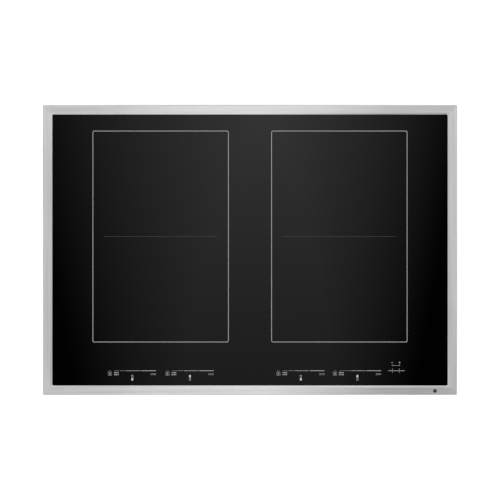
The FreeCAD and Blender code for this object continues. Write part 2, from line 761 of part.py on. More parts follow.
# ---------------------------------------------------------------- hold-down clamps
def make_clamp(side_name, side):
    """A long screw and the foot that it lifts; the angle bracket on the box's side is returned."""
    wall = f"{side} * Size.box_width / 2"
    upright = box(
        f"upright_{side_name}",
        ("Size.bracket_sheet", "Size.bracket_width", "Size.bracket_top - Size.bracket_bottom"),
        (f"{wall} + {side} * Size.bracket_sheet / 2", "0"),
        "Size.bracket_bottom",
    )
    shelf = box(
        f"shelf_{side_name}",
        ("22", "Size.bracket_width", "Size.bracket_sheet"),
        (f"{wall} + {side} * 11", "0"),
        "Size.bracket_bottom",
    )
    clamp_axis = (f"{side} * Size.clamp_x", "0")
    thread_gap, below = "Size.clamp_thread + 0.35", "Size.bracket_bottom - 3"
    holes = [rod(f"clamp_hole_{side_name}", thread_gap, "8", clamp_axis, below)]
    for index, y in enumerate(BRACKET_SCREW_Y):
        hole = doc.addObject("Part::Cylinder", f"bracket_hole_{side_name}_{index}")
        hole.Radius = number(CASE_SCREW_HOLE)
        hole.Height = 8
        start = Vector(number(wall) - 4, y, number(BRACKET_SCREW_Z))
        hole.Placement = Placement(start, Rotation(Vector(0, 0, 1), Vector(1, 0, 0)))
        holes.append(hole)
    blank = fuse(f"bracket_blank_{side_name}", upright, shelf)
    bracket = cut(f"bracket_{side_name}", blank, fuse(f"bracket_holes_{side_name}", *holes))

    foot = new_body(f"clamp_foot_{side_name}")
    sketch = sketch_on(foot, "XY_Plane", "Size.foot_bottom", *clamp_axis)
    circle(sketch, "Size.foot_radius")
    disc = pad(foot, sketch, "Size.foot_top - Size.foot_bottom")
    top = number("Size.foot_top")
    dress(foot, "Fillet", disc, lambda b: b.ZMin > top - 1e-6, Radius="0.8")
    socket = sketch_on(foot, "XY_Plane", "Size.foot_bottom", *clamp_axis)
    circle(socket, "Size.clamp_thread + 0.4")
    pocket(foot, socket, "4", reverse=True)

    shaft_length = "Size.foot_bottom + 3.7 - Size.clamp_head_top"
    shaft_name = f"clamp_shaft_{side_name}"
    shaft = rod(shaft_name, "Size.clamp_thread", shaft_length, clamp_axis, "Size.clamp_head_top")
    head = doc.addObject("Part::Prism", f"clamp_head_{side_name}")
    head.Polygon = 6
    head.Circumradius = 5.8
    bind(head, Height="Size.clamp_head_height")
    put(head, *clamp_axis, "Size.clamp_head_top - Size.clamp_head_height")
    keep(fuse(f"clamp_screw_{side_name}", shaft, head), f"clamp_screw_{side_name}")
    return bracket


# ---------------------------------------------------------------- coils and their decks
def coil_middle(side, row):
    return f"{side} * Size.zone_x", f"Size.zone_y + {row} * Size.coil_spacing / 2"


def spiral_path(half_straight, inner, pitch, turns):
    """A flat oval spiral of half circles and straight runs that meet as tangents."""
    edges = []
    for turn in range(turns):
        near = inner + turn * pitch
        far = near + pitch / 2
        right = Vector(half_straight, 0, 0)
        left = Vector(-half_straight, -pitch / 2, 0)
        top_right, top_left = right + Vector(0, near, 0), left + Vector(0, far, 0)
        bottom_left = left - Vector(0, far, 0)
        bottom_right = right - Vector(0, near, 0)
        edges.append(Part.Arc(bottom_right, right + Vector(near, 0, 0), top_right).toShape())
        edges.append(Part.LineSegment(top_right, top_left).toShape())
        edges.append(Part.Arc(top_left, left - Vector(far, 0, 0), bottom_left).toShape())
        edges.append(Part.LineSegment(bottom_left, right - Vector(0, near + pitch, 0)).toShape())
    return Part.Wire(edges)


def make_winding(label, side, row):
    """One flat oval winding of square insulated litz wire."""
    half = number("Size.coil_wire / 2")
    path = spiral_path(
        number("Size.coil_straight / 2"),
        number("Size.coil_inner_radius"),
        number("Size.coil_pitch"),
        int(number("Size.coil_turns")),
    )
    start = path.Edges[0].Vertexes[0].Point
    corners = [start + Vector(0, y * half, z * half) for y, z in ((-1, -1), (1, -1), (1, 1), (-1, 1))]
    section = Part.makePolygon(corners + corners[:1])
    winding = doc.addObject("Part::Feature", label)
    winding.Shape = path.makePipeShell([section], True, False)
    x, y = coil_middle(side, row)
    base = "Size.deck_top + Size.carrier_gap + Size.carrier_plate + Size.coil_wire / 2"
    put(winding, x, y, base)
    keep(winding, label)


def oval(sketch, extra):
    """The outline of a coil's oval, grown by a margin."""
    reach = f"(Size.coil_inner_radius + Size.coil_turns * Size.coil_pitch + ({extra}))"
    rounded_rectangle(sketch, f"2 * {reach} + Size.coil_straight", f"2 * {reach}", f"{reach} - 0.5")


def make_carrier(label, side, row):
    """Plastic coil former: an oval plate on four feet, open in the middle, with a raised rim."""
    body = new_body(label)
    middle = coil_middle(side, row)
    bottom = "Size.deck_top + Size.carrier_gap"
    plate = sketch_on(body, "XY_Plane", bottom, *middle)
    oval(plate, "5")
    circle(plate, "Size.coil_inner_radius - 12")
    pad(body, plate, "Size.carrier_plate")
    rim = sketch_on(body, "XY_Plane", f"{bottom} + Size.carrier_plate", *middle)
    oval(rim, "5")
    oval(rim, "3")
    pad(body, rim, "Size.coil_wire")
    feet = sketch_on(body, "XY_Plane", bottom, *middle)
    for x in (-104, 104):
        for y in (-30, 30):
            circle(feet, "4", str(x), str(y))
    pad(body, feet, "Size.carrier_gap", reverse=True)


def make_ferrites(side_name, side):
    """Radial ferrite bars under both coils of a deck."""
    bars = []
    for row_name, row in ROWS.items():
        x, y = coil_middle(side, row)
        for index in range(8):
            angle = 22.5 + 45 * index
            bar = doc.addObject("Part::Box", f"ferrite_{side_name}_{row_name}_{index}")
            bar.Length = 44
            bar.Width = 13
            bind(bar, Height="Size.carrier_gap")
            shift = Rotation(Vector(0, 0, 1), angle).multVec(Vector(31, -bar.Width.Value / 2, 0))
            put(bar, f"{x} + {shift.x:.4f}", f"{y} + {shift.y:.4f}", "Size.deck_top")
            bar.Placement.Rotation = Rotation(Vector(0, 0, 1), angle)
            bars.append(bar)
    keep(group(f"ferrite_bars_{side_name}", bars), f"ferrite_bars_{side_name}")


def make_deck(side_name, side):
    """Aluminium tray with turned-down edges, on six springs."""
    body = new_body(f"coil_deck_{side_name}")
    middle = (f"{side} * Size.zone_x", "Size.zone_y")
    outer = sketch_on(body, "XY_Plane", "Size.deck_top", *middle)
    rounded_rectangle(outer, "Size.deck_width", "Size.deck_depth", "Size.deck_corner")
    pad(body, outer, "Size.deck_sheet + Size.deck_rim", reverse=True)
    hollow = sketch_on(body, "XY_Plane", "Size.deck_top - Size.deck_sheet", *middle)
    rounded_rectangle(
        hollow,
        "Size.deck_width - 2 * Size.deck_sheet",
        "Size.deck_depth - 2 * Size.deck_sheet",
        "Size.deck_corner - Size.deck_sheet",
    )
    pocket(body, hollow, "Size.deck_rim")
    for row in ROWS.values():
        x, y = coil_middle(side, row)
        window = sketch_on(body, "XY_Plane", "Size.deck_top", x, y)
        circle(window, "Size.coil_inner_radius - 14")
        pocket(body, window, "2 * Size.deck_sheet")


def make_insulation(side_name, side):
    """Felt pads on the windings and one mica sheet over both."""
    pads = []
    for row_name, row in ROWS.items():
        body = doc.addObject("PartDesign::Body", f"felt_{side_name}_{row_name}")
        middle = coil_middle(side, row)
        bottom = "Size.deck_top + Size.carrier_gap + Size.carrier_plate + Size.coil_wire"
        sketch = sketch_on(body, "XY_Plane", bottom, *middle)
        oval(sketch, "2")
        circle(sketch, "Size.coil_inner_radius - 20")
        pad(body, sketch, f"Size.pad_top - ({bottom})")
        pads.append(body)
    keep(group(f"insulation_pads_{side_name}", pads), f"insulation_pads_{side_name}")
    mica = new_body(f"mica_sheet_{side_name}")
    sketch = sketch_on(mica, "XY_Plane", "Size.pad_top", f"{side} * Size.zone_x", "Size.zone_y")
    rounded_rectangle(sketch, "Size.deck_width - 24", "Size.deck_depth - 16", "8")
    pad(mica, sketch, "Size.mica_thickness")


def make_sensors(side_name, side):
    """A temperature sensor in the middle of each coil."""
    sensors = []
    bottom = "Size.deck_top + Size.carrier_gap"
    for row_name, row in ROWS.items():
        middle = coil_middle(side, row)
        name = f"sensor_{side_name}_{row_name}"
        stem = rod(f"{name}_stem", "5", "5", middle, bottom)
        cap = rod(f"{name}_cap", "9", f"Size.pad_top - ({bottom}) - 5", middle, f"{bottom} + 5")
        strap = box(f"{name}_strap", ("60", "8", "1"), middle, f"{bottom} - 1")
        sensors.append(fuse(name, stem, cap, strap))
    keep(group(f"temperature_sensors_{side_name}", sensors), f"temperature_sensors_{side_name}")


def deck_post_places(side):
    for across in (-1, 1):
        x = f"{side} * Size.zone_x + {across} * Size.post_x"
        for along in (-1, 0, 1):
            yield x, f"Size.zone_y + {along} * Size.post_y"


def make_posts_and_springs():
    """Six posts under each deck, each with a bowed leaf spring that presses the deck up."""
    posts = []
    rise = "(Size.deck_top - Size.deck_sheet - Size.post_top - 0.1)"
    bow = f"(Size.spring_span * Size.spring_span / 8 / {rise} + {rise} / 2)"
    for side_name, side in SIDES.items():
        springs = []
        for index, (x, y) in enumerate(deck_post_places(side)):
            tag = f"{side_name}_{index}"
            height = f"Size.post_top - {FLOOR}"
            posts.append(rod(f"post_{tag}", "Size.post_radius", height, (x, y), FLOOR))
            shells = []
            for name, radius in (("outer", bow), ("inner", f"{bow} - Size.spring_sheet")):
                shell = doc.addObject("Part::Cylinder", f"spring_{name}_{tag}")
                bind(shell, Radius=radius, Height="Size.spring_strip")
                put(shell, f"{x} - Size.spring_strip / 2", y, f"Size.post_top + {bow}")
                shell.Placement.Rotation = Rotation(Vector(0, 1, 0), 90)
                shells.append(shell)
            above = box(
                f"spring_above_{tag}",
                ("2 * Size.spring_strip", f"4 * {bow}", f"4 * {bow}"),
                (x, y),
                f"Size.post_top + {rise}",
            )
            hoop = cut(f"spring_hoop_{tag}", *shells)
            springs.append(cut(f"deck_spring_{tag}", hoop, above))
        keep(group(f"deck_springs_{side_name}", springs), f"deck_springs_{side_name}")
    keep(group("deck_posts", posts), "deck_posts")


# ---------------------------------------------------------------- power electronics
def make_power_unit(side_name, side):
    """Plastic carrier, inverter board, finned heat sink and the tall components of one side."""
    middle = (f"{side} * Size.board_x", "Size.board_y")
    stand_top = f"Size.board_bottom - {FLOOR}"
    plate_size = ("Size.board_width + 2", "Size.board_depth + 2", "3")
    tray = [box(f"carrier_plate_{side_name}", plate_size, middle, FLOOR)]
    for dx in (-1, 1):
        for dy in (-1, 1):
            place = (f"{middle[0]} + {dx} * 106", f"{middle[1]} + {dy} * 66")
            tray.append(rod(f"standoff_{side_name}_{dx}_{dy}", "5", stand_top, place, FLOOR))
    keep(fuse(f"board_carrier_{side_name}", *tray), f"board_carrier_{side_name}")

    board = new_body(f"power_board_{side_name}")
    sketch = sketch_on(board, "XY_Plane", "Size.board_bottom", *middle)
    rounded_rectangle(sketch, "Size.board_width", "Size.board_depth", "3")
    for dx in (-1, 1):
        for dy in (-1, 1):
            circle(sketch, "2", f"{dx} * 106", f"{dy} * 66")
    pad(board, sketch, "Size.board_sheet")
    board_top = "Size.board_bottom + Size.board_sheet"

    sink = new_body(f"heat_sink_{side_name}")
    sink_x = f"{side} * Size.fan_x"
    base = sketch_on(sink, "XY_Plane", board_top, sink_x, middle[1])
    rounded_rectangle(base, "76", "124", "1")
    pad(sink, base, "6")
    fin = sketch_on(sink, "XY_Plane", f"{board_top} + 6", f"{sink_x} - 37", middle[1])
    rounded_rectangle(fin, "1.6", "124", "0.4")
    linear(sink, pad(sink, fin, "30"), fin, "H_Axis", "7.4", 11)

    outer_x = f"{side} * (Size.board_x + 62)"
    inner_x = f"{side} * (Size.board_x - 90)"
    pieces = []
    for index in range(3):
        place = (outer_x, f"{middle[1]} + {48 - 30 * index}")
        pieces.append(rod(f"capacitor_{side_name}_{index}", "11", "32", place, board_top))
    for index in range(2):
        place = (outer_x, f"{middle[1]} - {40 + 22 * index}")
        pieces.append(box(f"film_{side_name}_{index}", ("32", "14", "24"), place, board_top))
    for index in range(3):
        place = (inner_x, f"{middle[1]} + {46 - 34 * index}")
        pieces.append(box(f"relay_{side_name}_{index}", ("24", "28", "18"), place, board_top))
    far_place = (f"{side} * (Size.board_x + 92)", f"{middle[1]} - 5")
    pieces.append(box(f"connector_{side_name}", ("12", "70", "12"), far_place, board_top))
    keep(group(f"board_components_{side_name}", pieces), f"board_components_{side_name}")


def fan_shell(name, side, inset, floor_inset):
    """The scroll of a radial fan: a drum with a square outlet towards the heat sink."""
    x, y = f"{side} * Size.fan_x", "Size.fan_y"
    height = f"Size.fan_height - 2 * ({floor_inset})"
    base = f"{FLOOR} + {floor_inset}"
    drum = rod(f"{name}_drum", f"Size.fan_radius - {inset}", height, (x, y), base)
    reach = "Size.fan_radius + 18"
    outlet = box(
        f"{name}_outlet",
        (f"Size.fan_radius - {inset} * 2", f"{reach} + {inset}", height),
        (f"{x} + {side} * Size.fan_radius / 2", f"{y} - ({reach} + {inset}) / 2"),
        base,
    )
    return fuse(name, drum, outlet)


def make_fan(side_name, side):
    """Fan housing on the floor grille, its outer-rotor motor on three arms, and the impeller."""
    x, y = f"{side} * Size.fan_x", "Size.fan_y"
    outside = fan_shell(f"fan_outside_{side_name}", side, "0", "0")
    inside = fan_shell(f"fan_inside_{side_name}", side, "Size.fan_wall", "Size.fan_wall")
    inlet_name = f"fan_inlet_{side_name}"
    inlet = rod(inlet_name, "Size.fan_inlet_radius", "3 * Size.fan_wall", (x, y), f"{FLOOR} - 1")
    housing = cut(f"fan_housing_{side_name}", outside, fuse(f"fan_hollow_{side_name}", inside, inlet))
    keep(housing, f"fan_housing_{side_name}")

    motor = new_body(f"fan_motor_{side_name}")
    hub = sketch_on(motor, "XY_Plane", FLOOR, x, y)
    circle(hub, "16")
    pad(motor, hub, "22")
    arm = sketch_on(motor, "XY_Plane", FLOOR, x, y)
    spoke(arm, "10", "Size.fan_inlet_radius - 0.1", "5")
    polar(motor, pad(motor, arm, "Size.fan_wall - 0.2"), arm, 3)

    impeller = new_body(f"fan_impeller_{side_name}")
    top = f"{FLOOR} + Size.fan_height - Size.fan_wall - 2"
    disc = sketch_on(impeller, "XY_Plane", top, x, y)
    circle(disc, "Size.impeller_radius")
    pad(impeller, disc, "1.5", reverse=True)
    cup = sketch_on(impeller, "XY_Plane", f"{top} - 1.5", x, y)
    circle(cup, "19.5")
    circle(cup, "17.5")
    pad(impeller, cup, "Size.impeller_height - 5", reverse=True)
    blade = sketch_on(impeller, "XY_Plane", f"{top} - 1.5", x, y)
    spoke(blade, "Size.impeller_radius - 11", "Size.impeller_radius - 0.4", "1.2")
    vane = pad(impeller, blade, "Size.impeller_height - 1.5", reverse=True)
    polar(impeller, vane, blade, "Size.impeller_blades")


def spoke(sketch, near, far, width):
    """A radial rectangle along the sketch's +X axis."""
    x0, x1, half = number(near), number(far), number(width) / 2
    corners = [Vector(x0, -half, 0), Vector(x1, -half, 0), Vector(x1, half, 0), Vector(x0, half, 0)]
    for index in range(4):
        sketch.addGeometry(Part.LineSegment(corners[index], corners[(index + 1) % 4]))
    for index in range(4):
        sketch.addConstraint(Sketcher.Constraint("Coincident", index, 2, (index + 1) % 4, 1))
    for index, kind in ((0, "Horizontal"), (2, "Horizontal"), (3, "Vertical")):
        sketch.addConstraint(Sketcher.Constraint(kind, index))
    sketch.addConstraint(Sketcher.Constraint("Symmetric", 1, 1, 1, 2, -1))
    dimension(sketch, "DistanceX", -1, 1, 0, 1, formula=near)
    dimension(sketch, "DistanceX", -1, 1, 0, 2, formula=far)
    dimension(sketch, "DistanceY", 1, 1, 1, 2, formula=width)


def make_filter_board():
    """Mains filter on the right at the rear: board, choke, capacitors and relays."""
    middle = ("Size.board_x - 5", "190")
    base = "Size.board_bottom"
    pieces = [box("filter_plate", ("200", "74", "Size.board_sheet"), middle, base)]
    top = f"{base} + Size.board_sheet"
    for index in range(2):
        x = f"{middle[0]} - 66 + {index} * 48"
        coil = doc.addObject("Part::Torus", f"choke_{index}")
        coil.Radius1 = 13
        coil.Radius2 = 7
        put(coil, x, middle[1], f"{top} + 7")
        pieces.append(coil)
    for index in range(3):
        place = (f"{middle[0]} + {30 + 6 * index}", f"{middle[1]} + {22 - 20 * index}")
        pieces.append(box(f"x_capacitor_{index}", ("26", "14", "20"), place, top))
    for dx in (-1, 1):
        for dy in (-1, 1):
            place = (f"{middle[0]} + {dx} * 94", f"{middle[1]} + {dy} * 31")
            pieces.append(rod(f"filter_leg_{dx}_{dy}", "3.5", f"{base} - {FLOOR}", place, FLOOR))
    keep(group("filter_board", pieces), "filter_board")


# ---------------------------------------------------------------- touch controls
def make_controls():
    """Plastic carrier on the support frame, the touch board and its light guides and key springs."""
    middle = ("Size.control_x", "Size.control_y")
    carrier = new_body("control_carrier")
    outline = sketch_on(carrier, "XY_Plane", "-12", *middle)
    rounded_rectangle(outline, "Size.control_width", "Size.control_depth", "3")
    pad(carrier, outline, "12.4")
    hollow = sketch_on(carrier, "XY_Plane", "0.4", *middle)
    rounded_rectangle(hollow, "Size.control_width - 6", "Size.control_depth - 6", "2")
    pocket(carrier, hollow, "10")
    ears = sketch_on(carrier, "XY_Plane", "-4", middle[0], f"{middle[1]} - Size.control_depth / 2 - 0.3")
    rounded_rectangle(ears, "Size.control_width - 60", "1.6", "0.3")
    pad(carrier, ears, "4")

    board = new_body("control_board")
    sketch = sketch_on(board, "XY_Plane", "0.4", *middle)
    rounded_rectangle(sketch, "Size.control_width - 2", "Size.control_depth - 2", "2")
    pad(board, sketch, "Size.board_sheet")

    board_top, reach = "(0.4 + Size.board_sheet)", f"{GLASS_BOTTOM} - 0.3 - 0.4 - Size.board_sheet"
    keys = []
    for key, start in SLIDER_STARTS.items():
        guide_x = f"{start} + Size.slider_length / 2"
        guide_size, display_size = ("Size.slider_length", "4", reach), ("12", "9", reach)
        display_place = (f"{start} + 42", "Size.slider_y + 12")
        keys.append(box(f"{key}_guide", guide_size, (guide_x, "Size.slider_y"), board_top))
        keys.append(rod(f"{key}_key", "5", reach, (f"{start} - 9", "Size.slider_y"), board_top))
        keys.append(box(f"{key}_display", display_size, display_place, board_top))
    for index, x in enumerate(("268.6", "282.8")):
        keys.append(rod(f"timer_key_{index}", "4.5", reach, (x, "Size.slider_y + 15.4"), board_top))
    keep(group("touch_keys", keys), "touch_keys")


# ---------------------------------------------------------------- assembly
make_trim_frame()
make_glass_panel()
make_glass_support()
make_trim_badge()
make_zone_markings()
make_control_markings()
make_burner_box()
make_case_screws()
make_mains_entry()
clamp_brackets = [make_clamp(name, sign) for name, sign in SIDES.items()]
keep(group("clamp_brackets", clamp_brackets), "clamp_brackets")
for name, sign in SIDES.items():
    make_deck(name, sign)
    make_ferrites(name, sign)
    make_insulation(name, sign)
    make_sensors(name, sign)
    make_power_unit(name, sign)
    make_fan(name, sign)
    for row_name, row_sign in ROWS.items():
        make_carrier(f"coil_carrier_{name}_{row_name}", sign, row_sign)
        make_winding(f"coil_winding_{name}_{row_name}", sign, row_sign)
make_posts_and_springs()
make_filter_board()
make_controls()

doc.recompute()
for item in doc.Objects:
    if {"Invalid", "Error"} & set(item.State):
        raise RuntimeError(f"{item.Label}: {item.State}")
os.makedirs("parts", exist_ok=True)
for part in parts:
    shape = part.Shape
    if shape.isNull() or not shape.isValid():
        raise RuntimeError(f"{part.Label} has no valid shape")
    shape.exportStep(f"parts/{part.Label}.step")
    bounds = shape.BoundBox
    print(
        f"{part.Label:28s} solids {len(shape.Solids):3d}  volume {shape.Volume / 1000:9.2f} cm3"
        f"  z {bounds.ZMin:7.2f} to {bounds.ZMax:6.2f}"
    )
print(len(parts), "sub-parts")
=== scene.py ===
import json
import math

import bmesh
import bpy
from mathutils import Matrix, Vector


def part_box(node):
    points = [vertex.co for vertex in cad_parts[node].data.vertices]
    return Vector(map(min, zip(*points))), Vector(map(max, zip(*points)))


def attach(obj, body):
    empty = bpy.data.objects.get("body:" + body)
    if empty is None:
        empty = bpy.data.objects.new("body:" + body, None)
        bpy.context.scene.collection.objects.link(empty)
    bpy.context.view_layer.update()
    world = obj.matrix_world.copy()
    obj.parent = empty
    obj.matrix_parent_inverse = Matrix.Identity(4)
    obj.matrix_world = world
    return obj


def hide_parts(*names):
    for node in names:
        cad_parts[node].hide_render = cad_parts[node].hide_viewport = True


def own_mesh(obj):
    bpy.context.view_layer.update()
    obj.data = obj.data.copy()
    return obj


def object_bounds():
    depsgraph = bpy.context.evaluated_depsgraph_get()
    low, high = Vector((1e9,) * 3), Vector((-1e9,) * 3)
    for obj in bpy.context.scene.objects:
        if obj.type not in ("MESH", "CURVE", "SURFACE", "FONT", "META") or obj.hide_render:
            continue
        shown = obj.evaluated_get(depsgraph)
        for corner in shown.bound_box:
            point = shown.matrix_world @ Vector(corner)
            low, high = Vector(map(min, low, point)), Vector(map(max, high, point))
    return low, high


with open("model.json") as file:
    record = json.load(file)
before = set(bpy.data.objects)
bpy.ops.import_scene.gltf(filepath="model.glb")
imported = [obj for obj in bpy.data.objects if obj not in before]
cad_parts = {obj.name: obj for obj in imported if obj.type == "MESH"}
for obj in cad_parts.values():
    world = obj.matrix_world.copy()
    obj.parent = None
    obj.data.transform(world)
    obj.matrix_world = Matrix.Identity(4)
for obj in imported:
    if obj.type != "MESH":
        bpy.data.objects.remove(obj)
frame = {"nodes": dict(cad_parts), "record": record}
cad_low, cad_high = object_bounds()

# Looks of a drop-in induction cooktop. Everything is in metres, in the frame of the CAD model:
# +X right, +Y rear, +Z up, with the worktop's top face at z = 0.

NODES = frame["nodes"]
GLASS_LOW, GLASS_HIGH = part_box("glass_panel")
TRIM_LOW, TRIM_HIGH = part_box("trim_frame")
BOX_LOW, BOX_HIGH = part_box("box_walls")
OVERALL_WIDTH = TRIM_HIGH.x - TRIM_LOW.x
ICON_ROW = 0.0105  # depth of the row of zone icons at the front
ICON_TOP_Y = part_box("control_markings")[0].y + ICON_ROW

# ---------------------------------------------------------------- camera
LENS = 85.0
SENSOR = 36.0
SHARE_OF_PICTURE = 0.8298  # how much of the picture's width the cooktop fills
FAR_CLIP = 100


def make_camera():
    """A long lens straight above the middle of the glass, with the rear edge at the top."""
    camera = bpy.data.objects.new("camera", bpy.data.cameras.new("camera"))
    camera.data.lens = LENS
    camera.data.sensor_width = SENSOR
    picture_width = OVERALL_WIDTH / SHARE_OF_PICTURE
    camera.location = (0, 0, TRIM_HIGH.z + picture_width * LENS / SENSOR)
    camera.data.clip_end = FAR_CLIP
    bpy.context.collection.objects.link(camera)
    bpy.context.scene.camera = camera
    return camera.location.z


# ---------------------------------------------------------------- node helpers
class Look:
    """A node material under construction."""

    def __init__(self, name):
        self.material = bpy.data.materials.new(name)
        self.material.use_nodes = True
        self.tree = self.material.node_tree
        self.shader = self.tree.nodes["Principled BSDF"]
        self.place = self.node("ShaderNodeTexCoord").outputs["Object"]

    def node(self, kind, **values):
        made = self.tree.nodes.new(kind)
        for key, value in values.items():
            setattr(made, key, value)
        return made

    def link(self, output, target):
        self.tree.links.new(output, target)

    def feed(self, target, value):
        """Set a socket to a number or colour, or link it to an output."""
        if isinstance(value, bpy.types.NodeSocket):
            self.link(value, target)
        else:
            target.default_value = value

    def set(self, **values):
        """Set or link the shader's own sockets, named with underscores for spaces."""
        for key, value in values.items():
            self.feed(self.shader.inputs[key.replace("_", " ")], value)

    def stretch(self, factors, vector=None):
        """The object's coordinates multiplied along each axis."""
        mapped = self.node("ShaderNodeVectorMath", operation="MULTIPLY")
        self.link(vector or self.place, mapped.inputs[0])
        mapped.inputs[1].default_value = factors
        return mapped.outputs[0]

    def noise(self, scale, detail=2.0, vector=None):
        made = self.node("ShaderNodeTexNoise")
        self.link(vector or self.place, made.inputs["Vector"])
        made.inputs["Scale"].default_value = scale
        made.inputs["Detail"].default_value = detail
        return made.outputs["Fac"]

    def cells(self, scale, vector=None, output="Distance"):
        made = self.node("ShaderNodeTexVoronoi")
        self.link(vector or self.place, made.inputs["Vector"])
        made.inputs["Scale"].default_value = scale
        return made.outputs[output]

    def span(self, value, low, high, start=0.0, end=1.0):
        """Map a number from one range to another."""
        made = self.node("ShaderNodeMapRange")
        self.link(value, made.inputs["Value"])
        for key, number in zip(("From Min", "From Max", "To Min", "To Max"), (low, high, start, end)):
            made.inputs[key].default_value = number
        return made.outputs["Result"]

    def maths(self, operation, first, second=0.0):
        made = self.node("ShaderNodeMath", operation=operation)
        self.feed(made.inputs[0], first)
        self.feed(made.inputs[1], second)
        return made.outputs[0]

    def axes(self):
        """The object's X, Y and Z coordinates."""
        made = self.node("ShaderNodeSeparateXYZ")
        self.link(self.place, made.inputs[0])
        return made.outputs

    def blend(self, share, first, second):
        """Mix two colours or colour outputs."""
        made = self.node("ShaderNodeMix", data_type="RGBA")
        self.feed(made.inputs["Factor"], share)
        self.feed(made.inputs[6], first)
        self.feed(made.inputs[7], second)
        return made.outputs[2]

    def mix(self, share, first, second):
        """Mix two numbers."""
        made = self.node("ShaderNodeMix", data_type="FLOAT")
        self.feed(made.inputs["Factor"], share)
        self.feed(made.inputs[2], first)
        self.feed(made.inputs[3], second)
        return made.outputs[0]

    def bump(self, height, depth, strength=1.0, under=None):
        """A bump of this depth in metres, on top of another one if given."""
        made = self.node("ShaderNodeBump")
        self.link(height, made.inputs["Height"])
        made.inputs["Distance"].default_value = depth
        made.inputs["Strength"].default_value = strength
        if under:
            self.link(under, made.inputs["Normal"])
        return made.outputs["Normal"]


def grey(level):
    """A neutral colour of this level."""
    return (level, level, level, 1.0)


# ---------------------------------------------------------------- materials of the top
def black_glass():
    """Glass ceramic: black, glossy, with the faint haze and wipe marks of a used sheet."""
    look = Look("black_glass")
    haze = look.noise(5.0, 4.0)
    wipes = look.noise(38.0, 3.0, look.stretch((1.0, 0.22, 1.0)))
    haze_roughness = look.span(haze, 0.3, 0.7, 0.018, 0.034)
    wipe_roughness = look.span(wipes, 0.4, 0.7, 0.0, 0.01)
    fleck = look.span(look.noise(2600.0, 1.0), 0.62, 0.75)
    look.set(
        Base_Color=look.blend(fleck, grey(0.0003), grey(0.0012)),
        Roughness=look.maths("ADD", haze_roughness, wipe_roughness),
        Normal=look.bump(look.noise(9.0, 1.0), 0.00002, 0.25),
    )
    look.shader.inputs["IOR"].default_value = 1.5
    return look.material


def brushed_steel():
    """Stainless steel brushed along each side of the trim, with mitres at the corners."""
    look = Look("brushed_steel")
    x, y, _ = look.axes()
    side_reach = look.maths("SUBTRACT", look.maths("ABSOLUTE", x), TRIM_HIGH.x)
    end_reach = look.maths("SUBTRACT", look.maths("ABSOLUTE", y), TRIM_HIGH.y)
    upright = look.maths("GREATER_THAN", look.maths("SUBTRACT", side_reach, end_reach), 0.0)

    def brushing(along, across, detail=3.0):
        lengthwise = look.noise(1.0, detail, look.stretch((along, across, across)))
        crosswise = look.noise(1.0, detail, look.stretch((across, along, across)))
        return look.mix(upright, lengthwise, crosswise)

    tangent = look.node("ShaderNodeCombineXYZ")
    look.link(upright, tangent.inputs[0])
    look.link(look.maths("SUBTRACT", 1.0, upright), tangent.inputs[1])
    tangent = tangent.outputs[0]

    fine = brushing(22.0, 4200.0)
    broad = brushing(5.0, 520.0, 2.0)
    cloud = look.noise(7.0, 2.0)
    broad_tone = look.span(broad, 0.3, 0.7, 0.93, 1.05)
    fine_tone = look.span(fine, 0.25, 0.75, 0.94, 1.05)
    tone = look.maths("MULTIPLY", broad_tone, fine_tone)
    tone = look.maths("MULTIPLY", tone, look.span(cloud, 0.3, 0.7, 0.98, 1.02))
    look.set(
        Base_Color=look.blend(look.span(tone, 0.8, 1.2), grey(0.44), grey(0.78)),
        Metallic=1.0,
        Roughness=look.span(broad, 0.3, 0.7, 0.3, 0.36),
        Normal=look.bump(fine, 0.00001, 0.35),
        Tangent=tangent,
    )
    look.shader.inputs["Anisotropic"].default_value = 0.75
    return look.material


def ceramic_print(name, level, front_level=None):
    """Enamel print with a fine speckle; the zone icons at the front may be denser."""
    look = Look(name)
    speckle = look.noise(5200.0, 1.0)
    shade = look.blend(look.span(speckle, 0.35, 0.65), grey(level * 0.9), grey(level))
    if front_level:
        at_front = look.maths("LESS_THAN", look.axes()[1], ICON_TOP_Y)
        shade = look.blend(at_front, shade, grey(front_level))
    look.set(
        Base_Color=shade,
        Roughness=look.span(speckle, 0.3, 0.7, 0.35, 0.5),
    )
    return look.material


def dark_badge():
    """Dark satin disc with a fine grain."""
    look = Look("badge_dark")
    grain = look.noise(900.0, 2.0)
    look.set(
        Base_Color=look.blend(grain, grey(0.012), grey(0.03)),
        Roughness=look.span(grain, 0.3, 0.7, 0.25, 0.4),
        Normal=look.bump(grain, 0.00001, 0.4),
    )
    return look.material


# ---------------------------------------------------------------- materials of the box
def galvanised_steel():
    """Zinc-coated sheet with its crystal pattern and faint rolling lines."""
    look = Look("box_steel")
    crystals = look.cells(75.0, output="Color")
    shade = look.node("ShaderNodeRGBToBW")
    look.link(crystals, shade.inputs[0])
    fine = look.cells(210.0, output="Color")
    fine_shade = look.node("ShaderNodeRGBToBW")
    look.link(fine, fine_shade.inputs[0])
    pattern = look.mix(0.35, shade.outputs[0], fine_shade.outputs[0])
    smudge = look.noise(9.0, 4.0)
    rolled = look.noise(1.0, 2.0, look.stretch((9.0, 700.0, 700.0)))
    crystal_tone = look.span(pattern, 0.1, 0.9, 0.0, 0.6)
    smudge_tone = look.span(smudge, 0.3, 0.7, 0.0, 0.4)
    tone = look.maths("ADD", crystal_tone, smudge_tone)
    look.set(
        Base_Color=look.blend(tone, (0.36, 0.375, 0.39, 1), (0.57, 0.585, 0.6, 1)),
        Metallic=0.9,
        Roughness=look.span(pattern, 0.1, 0.9, 0.34, 0.52),
        Normal=look.bump(rolled, 0.00002, 0.3),
    )
    return look.material


